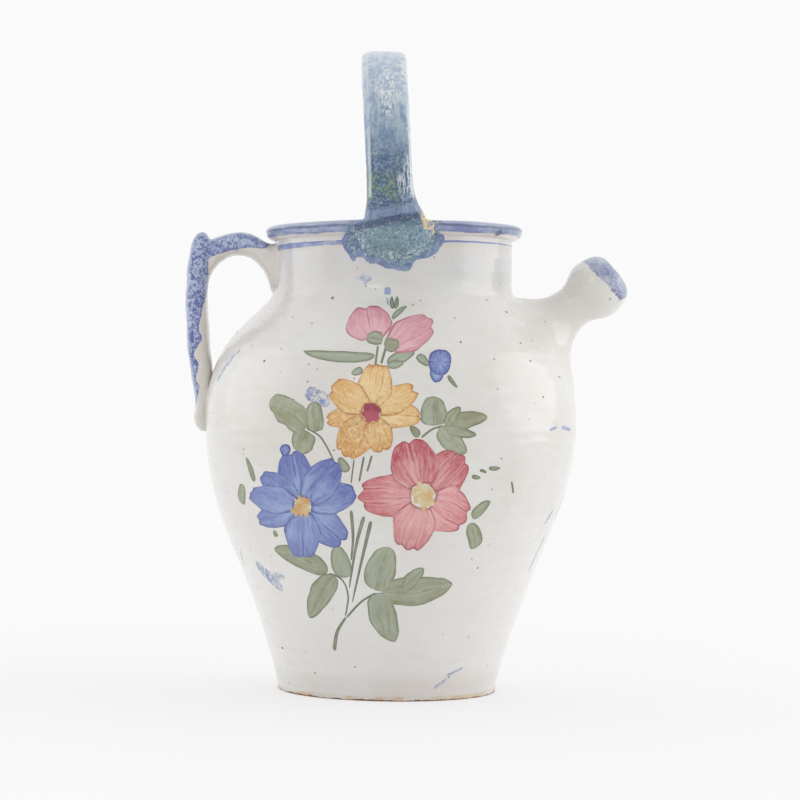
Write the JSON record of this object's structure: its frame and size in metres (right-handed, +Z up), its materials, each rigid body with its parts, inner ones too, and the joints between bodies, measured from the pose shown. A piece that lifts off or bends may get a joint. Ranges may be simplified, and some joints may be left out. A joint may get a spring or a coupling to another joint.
{
  "type": "ceramic water jug",
  "caption": "Glazed earthenware water jug with a tall belly, an upright neck, a basket handle over its wide mouth, a strap side handle and a small bulb-ended spout.",
  "frame": {"origin": "centre of the foot's underside, on the surface that the jug stands on", "axes": "+Z up along the wheel's axis, +X towards the spout, -X towards the side handle, -Y towards the painted front"},
  "size_m": [0.2408, 0.2024, 0.3474],
  "materials": {
    "white_glaze": "gloss tin glaze over earthenware, brush painted",
    "spout_glaze": "gloss tin glaze with a brushed blue end",
    "blue_glaze": "gloss blue brushed over the white glaze",
    "teal_glaze": "gloss blue and green brushed over the white glaze",
    "bare_clay": "unglazed fired clay"
  },
  "bodies": {
    "root": {"foot": "bare_clay", "body": "white_glaze", "neck_collar": "white_glaze", "rim": "blue_glaze", "spout_tube": "white_glaze", "spout_bulb": "spout_glaze", "handle_arch": "blue_glaze", "handle_grip": "blue_glaze", "bail_strap": "teal_glaze", "bail_front_pad": "teal_glaze", "bail_rear_pad": "teal_glaze"}
  },
  "joints": []
}
